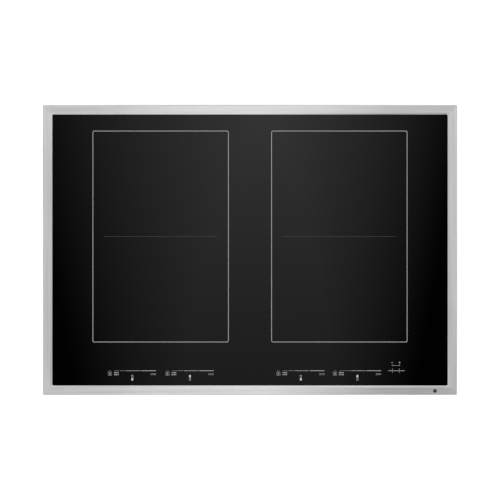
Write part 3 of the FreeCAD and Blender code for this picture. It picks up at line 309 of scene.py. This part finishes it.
def plain_metal(name, dark, light, roughness, scale=60.0, streaks=None):
    """Bare or plated metal with slight stains; streaks stretch the grain along X."""
    look = Look(name)
    stain = look.noise(scale, 4.0)
    grain = look.noise(1.0, 2.0, look.stretch(streaks or (900.0, 900.0, 900.0)))
    stain_tone = look.span(stain, 0.3, 0.7, 0.0, 0.7)
    grain_tone = look.span(grain, 0.3, 0.7, 0.0, 0.3)
    tone = look.maths("ADD", stain_tone, grain_tone)
    look.set(
        Base_Color=look.blend(tone, (*dark, 1), (*light, 1)),
        Metallic=1.0,
        Roughness=look.span(stain, 0.25, 0.75, roughness, roughness + 0.16),
        Normal=look.bump(grain, 0.00002, 0.35),
    )
    return look.material


def moulded(name, dark, light, roughness, grain=2400.0, depth=0.00003):
    """Moulded plastic or rubber: fine spark-eroded grain and slow changes of shade."""
    look = Look(name)
    texture = look.noise(grain, 2.0)
    slow = look.noise(12.0, 3.0)
    look.set(
        Base_Color=look.blend(look.span(slow, 0.3, 0.7), (*dark, 1), (*light, 1)),
        Roughness=look.span(texture, 0.3, 0.7, roughness - 0.07, roughness + 0.07),
        Normal=look.bump(texture, depth, 0.5),
    )
    return look.material


def closed_foam():
    """Closed-cell foam strip with small pores on its cut edges."""
    look = Look("foam")
    pores = look.cells(900.0)
    slow = look.noise(30.0, 2.0)
    look.set(
        Base_Color=look.blend(look.span(pores, 0.1, 0.6), grey(0.012), grey(0.045)),
        Roughness=look.span(slow, 0.3, 0.7, 0.82, 0.96),
        Normal=look.bump(pores, 0.0003, 0.6),
    )
    return look.material


def litz_wire():
    """Copper litz bundle: many twisted strands under clear varnish."""
    look = Look("copper_litz")
    twist = look.node("ShaderNodeTexWave", wave_type="BANDS", bands_direction="DIAGONAL")
    look.link(look.place, twist.inputs["Vector"])
    twist.inputs["Scale"].default_value = 420.0
    twist.inputs["Distortion"].default_value = 1.5
    strands = twist.outputs["Fac"]
    look.set(
        Base_Color=look.blend(strands, (0.24, 0.075, 0.03, 1), (0.72, 0.3, 0.14, 1)),
        Metallic=0.85,
        Roughness=look.span(strands, 0.0, 1.0, 0.45, 0.28),
        Normal=look.bump(strands, 0.0002, 0.7),
    )
    return look.material


def ceramic_felt():
    """Pale felt of long fibres over soft lumps."""
    look = Look("felt")
    fibres = look.noise(1.0, 4.0, look.stretch((700.0, 260.0, 700.0)))
    lumps = look.noise(120.0, 3.0)
    look.set(
        Base_Color=look.blend(
            look.span(fibres, 0.3, 0.7), (0.62, 0.59, 0.52, 1), (0.85, 0.83, 0.77, 1)
        ),
        Roughness=look.span(lumps, 0.3, 0.7, 0.85, 0.97),
        Normal=look.bump(fibres, 0.0003, 0.7, look.bump(lumps, 0.0006, 0.5)),
    )
    return look.material


def mica_sheet():
    """Pressed mica flakes, brown and slightly glossy."""
    look = Look("mica")
    flakes = look.cells(190.0, look.stretch((1.0, 1.0, 0.2)), output="Color")
    shade = look.node("ShaderNodeRGBToBW")
    look.link(flakes, shade.inputs[0])
    look.set(
        Base_Color=look.blend(shade.outputs[0], (0.36, 0.29, 0.19, 1), (0.66, 0.58, 0.42, 1)),
        Roughness=look.span(shade.outputs[0], 0.0, 1.0, 0.25, 0.5),
    )
    return look.material


def circuit_board():
    """Solder mask with straight copper tracks showing through it."""
    look = Look("circuit_green")
    tracks = look.node("ShaderNodeTexBrick")
    look.link(look.place, tracks.inputs["Vector"])
    tracks.inputs["Scale"].default_value = 70.0
    tracks.inputs["Mortar Size"].default_value = 0.035
    for key, value in (("Color1", grey(0.0)), ("Color2", grey(0.15)), ("Mortar", grey(1.0))):
        tracks.inputs[key].default_value = value
    weave = look.noise(1500.0, 1.0)
    look.set(
        Base_Color=look.blend(
            tracks.outputs["Color"], (0.012, 0.09, 0.045, 1), (0.05, 0.26, 0.12, 1)
        ),
        Roughness=look.span(weave, 0.3, 0.7, 0.28, 0.42),
        Normal=look.bump(tracks.outputs["Color"], 0.00004, 0.6),
    )
    return look.material


MATERIALS = {
    "black_glass": black_glass,
    "brushed_steel": brushed_steel,
    "badge_dark": dark_badge,
    "print_grey": lambda: ceramic_print("print_grey", 0.4, 0.58),
    "print_dark": lambda: ceramic_print("print_dark", 0.05),
    "silicone": lambda: moulded("silicone", (0.012,) * 3, (0.022,) * 3, 0.42, 300.0),
    "foam": closed_foam,
    "frame_steel": lambda: plain_metal(
        "frame_steel", (0.44, 0.45, 0.46), (0.62, 0.63, 0.64), 0.32, 20.0, (12.0, 900.0, 900.0)
    ),
    "box_steel": galvanised_steel,
    "zinc": lambda: plain_metal("zinc", (0.5, 0.5, 0.46), (0.72, 0.71, 0.66), 0.26, 260.0),
    "plate_silver": lambda: plain_metal(
        "plate_silver", (0.62, 0.62, 0.63), (0.78, 0.78, 0.79), 0.34, 30.0, (8.0, 1500.0, 1500.0)
    ),
    "black_plastic": lambda: moulded("black_plastic", (0.016,) * 3, (0.028, 0.028, 0.03), 0.48),
    "white_plastic": lambda: moulded("white_plastic", (0.66, 0.65, 0.6), (0.78, 0.77, 0.73), 0.42),
    "rubber_foot": lambda: moulded("rubber_foot", (0.014,) * 3, (0.03,) * 3, 0.72, 1200.0, 0.00008),
    "aluminium": lambda: plain_metal(
        "aluminium", (0.62, 0.63, 0.64), (0.8, 0.81, 0.82), 0.3, 14.0, (10.0, 1100.0, 1100.0)
    ),
    "copper_litz": litz_wire,
    "ferrite": lambda: moulded(
        "ferrite", (0.03, 0.03, 0.033), (0.07, 0.07, 0.075), 0.55, 800.0, 0.0001
    ),
    "felt": ceramic_felt,
    "mica": mica_sheet,
    "sensor_white": lambda: moulded("sensor_white", (0.7, 0.68, 0.62), (0.84, 0.82, 0.77), 0.3),
    "circuit_green": circuit_board,
    "component_dark": lambda: moulded(
        "component_dark", (0.02, 0.02, 0.04), (0.05, 0.05, 0.09), 0.35
    ),
    "spring_steel": lambda: plain_metal(
        "spring_steel", (0.4, 0.4, 0.41), (0.6, 0.6, 0.61), 0.24, 300.0
    ),
}


def dress_cad_nodes():
    """Give every CAD node the material of its slot in the record."""
    made = {name: build() for name, build in MATERIALS.items()}
    for entry in frame["record"]["subparts"]:
        node = NODES[entry["node"]]
        node.data.materials.clear()
        node.data.materials.append(made[entry["material_slot"]])
    return made


# ---------------------------------------------------------------- details on the box's sheet metal
# Each wall seen from outside: the direction of its own +u axis, its outward normal and its reach.
WALLS = {
    "front": (Vector((1, 0, 0)), Vector((0, -1, 0)), BOX_HIGH.y),
    "rear": (Vector((-1, 0, 0)), Vector((0, 1, 0)), BOX_HIGH.y),
    "right": (Vector((0, 1, 0)), Vector((1, 0, 0)), BOX_HIGH.x),
    "left": (Vector((0, -1, 0)), Vector((-1, 0, 0)), BOX_HIGH.x),
}
VENT_PITCH = 0.010
VENT_WIDTH = 0.0036
FRONT_VENT_STARTS = (-0.285, 0.075)
FRONT_VENTS, FRONT_VENT_HEIGHT, FRONT_VENT_Z = 22, 0.034, -0.060
SIDE_VENTS, SIDE_VENT_HEIGHT, SIDE_VENT_Z, SIDE_VENT_START = 11, 0.030, -0.050, 0.090
LIP_WIDTH, LIP_HEIGHT = 0.0012, 0.00035
WELD_RADIUS, WELD_PITCH, WELD_INSET = 0.0026, 0.045, 0.0065
WELD_END_GAP = 0.030  # from a wall's end to its first weld
# One weld from rim to centre: share of the radius and height.
WELD_PROFILE = ((1.0, 0.0), (0.82, 0.00022), (0.6, 0.00008), (0.25, 0.00005))
TAB_WIDTH, TAB_THICKNESS, TAB_CUT = 0.014, 0.0007, 0.004
TAB_FOOT_GAP, TAB_TOP_GAP = 0.010, 0.018
TAB_WELDS = (0.2, 0.5, 0.8)  # shares of the wall's height
CORNER_WRAP = 0.0034
ROUND_STEPS = 16


def on_wall(wall):
    """A function that turns a place on a wall (across, up, outward) into a point."""
    across, outward, reach = WALLS[wall]
    return lambda u, v, w: across * u + outward * (reach + w) + Vector((0, 0, v))


def band(made, first, second):
    """Faces between two rings of points."""
    count = len(first)
    for index in range(count):
        after = (index + 1) % count
        made.faces.new((first[index], first[after], second[after], second[index]))


def rings(made, place, outlines):
    """Points for a list of (outline, height) pairs, joined by bands of faces."""
    built = [
        [made.verts.new(place(u, v, height)) for u, v in outline] for outline, height in outlines
    ]
    for first, second in zip(built, built[1:]):
        band(made, first, second)
    return built


def stadium(u, v, width, height):
    """An upright slot's outline: two half circles joined by straight sides."""
    radius = width / 2
    straight = height / 2 - radius
    outline = []
    for index in range(ROUND_STEPS):
        angle = math.tau * (index + 0.5) / ROUND_STEPS
        lift = math.copysign(straight, math.sin(angle))
        outline.append((u + radius * math.cos(angle), v + lift + radius * math.sin(angle)))
    return outline


def rounded(u, v, radius):
    """A circle's outline."""
    return stadium(u, v, 2 * radius, 2 * radius)


def chamfered(left, right, bottom, top, cut):
    """A rectangle's outline with its four corners cut off."""
    return [
        (left + cut, bottom),
        (right - cut, bottom),
        (right, bottom + cut),
        (right, top - cut),
        (right - cut, top),
        (left + cut, top),
        (left, top - cut),
        (left, bottom + cut),
    ]


def add_piece(name, made, material):
    """Finish a mesh as a new piece on the fixed body."""
    mesh = bpy.data.meshes.new(name)
    made.to_mesh(mesh)
    made.free()
    mesh.materials.append(material)
    piece = bpy.data.objects.new(name, mesh)
    bpy.context.collection.objects.link(piece)
    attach(piece, "root")


def press_lip(made, wall, u, v, height):
    """The raised lip that the punch leaves round one air slot."""
    inner = stadium(u, v, VENT_WIDTH, height)
    crest = stadium(u, v, VENT_WIDTH + LIP_WIDTH, height + LIP_WIDTH)
    outer = stadium(u, v, VENT_WIDTH + 2 * LIP_WIDTH, height + 2 * LIP_WIDTH)
    rings(made, on_wall(wall), [(outer, 0.0), (crest, LIP_HEIGHT), (inner, 0.0)])


def make_vent_lips(material):
    made = bmesh.new()
    for start in FRONT_VENT_STARTS:
        for index in range(FRONT_VENTS):
            press_lip(made, "front", start + index * VENT_PITCH, FRONT_VENT_Z, FRONT_VENT_HEIGHT)
    for wall, sign in (("right", 1), ("left", -1)):
        for index in range(SIDE_VENTS):
            u = sign * (SIDE_VENT_START + index * VENT_PITCH)
            press_lip(made, wall, u, SIDE_VENT_Z, SIDE_VENT_HEIGHT)
    add_piece("vent_lips", made, material)


def spot_weld(made, wall, u, v, base=0.0):
    """One spot weld: a low ring round a shallow crater."""
    outlines = [
        (rounded(u, v, WELD_RADIUS * share), base + height) for share, height in WELD_PROFILE
    ]
    built = rings(made, on_wall(wall), outlines)
    made.faces.new(built[-1])


def make_lap_tabs(material):
    """Tabs folded round each corner and lapped over the front and rear sheets."""
    made = bmesh.new()
    low, high = BOX_LOW.z + TAB_FOOT_GAP, BOX_HIGH.z - TAB_TOP_GAP
    for wall in ("front", "rear"):
        for sign in (-1, 1):
            near = BOX_HIGH.x - CORNER_WRAP
            ends = sorted((sign * near, sign * (near - TAB_WIDTH)))
            foot = chamfered(*ends, low, high, TAB_CUT)
            edge = TAB_THICKNESS / 3
            face = chamfered(ends[0] + edge, ends[1] - edge, low + edge, high - edge, TAB_CUT)
            outlines = [(foot, 0.0), (foot, TAB_THICKNESS - edge), (face, TAB_THICKNESS)]
            made.faces.new(rings(made, on_wall(wall), outlines)[-1])
    add_piece("corner_lap_tabs", made, material)


def make_spot_welds(material):
    """Spot welds on the lap tabs and along the foot of every wall."""
    made = bmesh.new()
    foot = BOX_LOW.z + WELD_INSET
    for wall in WALLS:
        half = (BOX_HIGH.x if wall in ("front", "rear") else BOX_HIGH.y) - WELD_END_GAP
        count = int(2 * half / WELD_PITCH)
        for index in range(count + 1):
            spot_weld(made, wall, -half + index * 2 * half / count, foot)
    for wall in ("front", "rear"):
        for sign in (-1, 1):
            u = sign * (BOX_HIGH.x - CORNER_WRAP - TAB_WIDTH / 2)
            for step in TAB_WELDS:
                v = BOX_LOW.z + step * (BOX_HIGH.z - BOX_LOW.z)
                spot_weld(made, wall, u, v, TAB_THICKNESS)
    add_piece("spot_welds", made, material)


def make_deck_springs(material):
    """Leaf springs under the coil deck, which flatten in the real cooktop as the deck is pushed down;
    here they are rigid copies on the fixed body.
    """
    for side in ("left", "right"):
        node = NODES[f"deck_springs_{side}"]
        mesh = node.data.copy()
        mesh.materials.clear()
        mesh.materials.append(material)
        piece = bpy.data.objects.new(f"leaf_springs_{side}", mesh)
        bpy.context.collection.objects.link(piece)
        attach(piece, "root")
        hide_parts(f"deck_springs_{side}")
        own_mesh(piece)


PLATE_LOW, PLATE_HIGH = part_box("rating_plate")
PLATE_PRINT = 0.00004
PLATE_MARGIN = 0.003
RULE = 0.0004
TABLE_SHARE, TABLE_ROWS, FIRST_COLUMN = 0.62, 5, 0.3
BAR_SHARE, BAR_SIDE, BAR_FOOT, BAR_TOP = 0.8, 0.1, 0.25, 0.2
# The generic bar pattern: widths of the dark strokes and the gaps, in steps of one unit.
BAR_STEPS = (1, 1, 2, 1, 1, 3, 1, 2, 3, 1, 1, 1, 2, 2, 1)
BAR_STEPS += (3, 2, 1, 1, 2, 3, 1, 1, 1, 2, 1, 3, 2, 1, 1)


def make_plate_print(material):
    """A ruled table and a bar pattern on the rating plate, with no lettering."""
    made = bmesh.new()
    lift = PLATE_HIGH.y - BOX_HIGH.y
    place = on_wall("rear")

    def stroke(left, right, bottom, top):
        cut = min(right - left, top - bottom) / 5
        outline = chamfered(left, right, bottom, top, cut)
        outlines = [(outline, lift + w) for w in (0.0, PLATE_PRINT)]
        made.faces.new(rings(made, place, outlines)[-1])

    left, right = -PLATE_HIGH.x + PLATE_MARGIN, -PLATE_LOW.x - PLATE_MARGIN
    bottom, top = PLATE_LOW.z + PLATE_MARGIN, PLATE_HIGH.z - PLATE_MARGIN
    split = left + TABLE_SHARE * (right - left)
    for row in range(TABLE_ROWS + 1):
        level = bottom + row * (top - bottom) / TABLE_ROWS
        end = split if 0 < row < TABLE_ROWS else right
        stroke(left, end, level - RULE / 2, level + RULE / 2)
    for u in (left, left + FIRST_COLUMN * (split - left), split, right):
        stroke(u - RULE / 2, u + RULE / 2, bottom, top)
    unit = BAR_SHARE * (right - split) / sum(BAR_STEPS)
    u = split + BAR_SIDE * (right - split)
    foot, head = bottom + BAR_FOOT * (top - bottom), top - BAR_TOP * (top - bottom)
    for index, steps in enumerate(BAR_STEPS):
        if index % 2 == 0:
            stroke(u, u + steps * unit, foot, head)
        u += steps * unit
    add_piece("plate_print", made, material)


# ---------------------------------------------------------------- studio
CARD_HEIGHT = 3.2
CARD_X, CARD_Y = 1.7, 1.35
# The card's middle: a ridge of light at RIDGE_X that fades to each side, in (rear, front) pairs.
RIDGE_X = 0.078
LEFT_REACH, RIGHT_REACH, RIDGE_GAIN = (1.145, 0.88), (0.92, 0.68), (1.0, 1.75)
REAR_RISE, MIDDLE_LIGHT = 0.863, 0.5
# The card's border: brightest halfway along each side, with a darker patch at the front right.
LONG_MIDDLE, SHORT_MIDDLE, BORDER_CORNER = 2.7, 1.9, 0.4
LONG_FADE, SHORT_FADE = 1.0, 0.5
FRONT_PATCH, PATCH_START, PATCH_END = 1.9, (0.25, 0.6), (1.05, 0.85)
ZENITH_LIGHT, ZENITH_FROM = 1.0, 44  # strength, degrees above the horizon
HORIZON_LIGHT, HORIZON_TO = 0.5, 12
FLOOR_SIZE, FLOOR_GAP = 60, 0.0001
KEY_PLACE, KEY_SIZE, KEY_POWER = (-2.6, -2.6, 2.6), 2.4, 60


def make_floor():
    """A pale floor at the object's lowest point, clear when seen from below."""
    look = Look("studio_floor")
    look.set(
        Base_Color=grey(0.4),
        Roughness=0.9,
        Emission_Color=grey(1.0),
        Emission_Strength=0.8,
    )
    seen_from = look.node("ShaderNodeNewGeometry")
    clear = look.node("ShaderNodeBsdfTransparent")
    chooser = look.node("ShaderNodeMixShader")
    look.link(seen_from.outputs["Backfacing"], chooser.inputs[0])
    look.link(look.shader.outputs[0], chooser.inputs[1])
    look.link(clear.outputs[0], chooser.inputs[2])
    look.link(chooser.outputs[0], look.tree.nodes["Material Output"].inputs["Surface"])
    height = cad_low.z - FLOOR_GAP
    bpy.ops.mesh.primitive_plane_add(size=FLOOR_SIZE, location=(0, 0, height))
    floor = bpy.context.object
    floor.name = "floor"
    floor.data.materials.append(look.material)


def make_card(camera_height):
    """A light card over the object. The glass mirrors its middle, and the trim its border."""
    mirrored = 1 + CARD_HEIGHT / camera_height
    look = Look("light_card")
    x, y, _ = look.axes()
    half_depth = GLASS_HIGH.y * mirrored
    front = look.span(y, half_depth, -half_depth)
    offset = look.maths("SUBTRACT", x, RIDGE_X)
    on_right = look.maths("GREATER_THAN", offset, 0.0)
    reach = look.mix(on_right, look.mix(front, *LEFT_REACH), look.mix(front, *RIGHT_REACH))
    tent = look.maths("SUBTRACT", 1.0, look.maths("DIVIDE", look.maths("ABSOLUTE", offset), reach))
    tent = look.maths("MULTIPLY", look.maths("MAXIMUM", tent, 0.0), look.mix(front, *RIDGE_GAIN))
    across = look.maths("MINIMUM", tent, 1.0)
    along = look.maths("EXPONENT", look.maths("MULTIPLY", y, REAR_RISE))
    middle = look.maths("MULTIPLY", look.maths("MULTIPLY", across, along), MIDDLE_LIGHT)
    outside_x = look.maths("GREATER_THAN", look.maths("ABSOLUTE", x), GLASS_HIGH.x * mirrored)
    outside_y = look.maths("GREATER_THAN", look.maths("ABSOLUTE", y), half_depth)
    outside = look.maths("MAXIMUM", outside_x, outside_y)
    x_squared, y_squared = look.maths("MULTIPLY", x, x), look.maths("MULTIPLY", y, y)
    long_side = look.span(x_squared, 0.0, LONG_FADE, LONG_MIDDLE, BORDER_CORNER)
    short_side = look.span(y_squared, 0.0, SHORT_FADE, SHORT_MIDDLE, BORDER_CORNER)
    patch_start = look.span(x, *PATCH_START, 0.0, FRONT_PATCH)
    patch = look.maths("MULTIPLY", patch_start, look.span(x, *PATCH_END))
    patch = look.maths("MULTIPLY", patch, look.maths("LESS_THAN", y, 0.0))
    border = look.maths("SUBTRACT", look.mix(outside_x, long_side, short_side), patch)
    glow = look.node("ShaderNodeEmission")
    look.link(look.mix(outside, middle, border), glow.inputs["Strength"])
    look.link(glow.outputs[0], look.tree.nodes["Material Output"].inputs["Surface"])
    mesh = bpy.data.meshes.new("light_card")
    signs = ((-1, -1), (-1, 1), (1, 1), (1, -1))
    corners = [(sign_x * CARD_X, sign_y * CARD_Y, 0) for sign_x, sign_y in signs]
    mesh.from_pydata(corners, [], [(0, 1, 2, 3)])
    card = bpy.data.objects.new("light_card", mesh)
    card.location = (0, 0, CARD_HEIGHT)
    card.data.materials.append(look.material)
    card.visible_camera = False
    bpy.context.collection.objects.link(card)


def make_sky():
    """A soft white surround, brighter overhead than at the horizon."""
    world = bpy.data.worlds.new("studio")
    bpy.context.scene.world = world
    world.use_nodes = True
    nodes, links = world.node_tree.nodes, world.node_tree.links
    place = nodes.new("ShaderNodeTexCoord")
    axes = nodes.new("ShaderNodeSeparateXYZ")
    ramp = nodes.new("ShaderNodeMapRange")
    ramp.interpolation_type = "SMOOTHSTEP"
    for key, value in (
        ("From Min", math.sin(math.radians(HORIZON_TO))),
        ("From Max", math.sin(math.radians(ZENITH_FROM))),
        ("To Min", HORIZON_LIGHT),
        ("To Max", ZENITH_LIGHT),
    ):
        ramp.inputs[key].default_value = value
    links.new(place.outputs["Generated"], axes.inputs[0])
    links.new(axes.outputs[2], ramp.inputs["Value"])
    nodes["Background"].inputs["Color"].default_value = grey(1.0)
    seen = nodes.new("ShaderNodeLightPath")
    chooser = nodes.new("ShaderNodeMix")
    links.new(seen.outputs["Is Camera Ray"], chooser.inputs["Factor"])
    links.new(ramp.outputs["Result"], chooser.inputs[2])
    chooser.inputs[3].default_value = 1.0
    links.new(chooser.outputs[0], nodes["Background"].inputs["Strength"])


def make_key_light():
    """One large soft light from the front left, to shape the sides."""
    lamp = bpy.data.objects.new("key_light", bpy.data.lights.new("key_light", "AREA"))
    lamp.data.shape = "DISK"
    lamp.data.size = KEY_SIZE
    lamp.data.energy = KEY_POWER
    lamp.location = KEY_PLACE
    lamp.rotation_euler = (-Vector(lamp.location)).to_track_quat("-Z", "Y").to_euler()
    lamp.visible_glossy = False
    bpy.context.collection.objects.link(lamp)


# ---------------------------------------------------------------- the scene
bpy.context.scene.view_settings.view_transform = "Standard"
camera_z = make_camera()
materials = dress_cad_nodes()
make_vent_lips(materials["box_steel"])
make_lap_tabs(materials["box_steel"])
make_spot_welds(materials["box_steel"])
make_plate_print(materials["print_dark"])
make_deck_springs(materials["spring_steel"])
make_floor()
make_card(camera_z)
make_sky()
make_key_light()
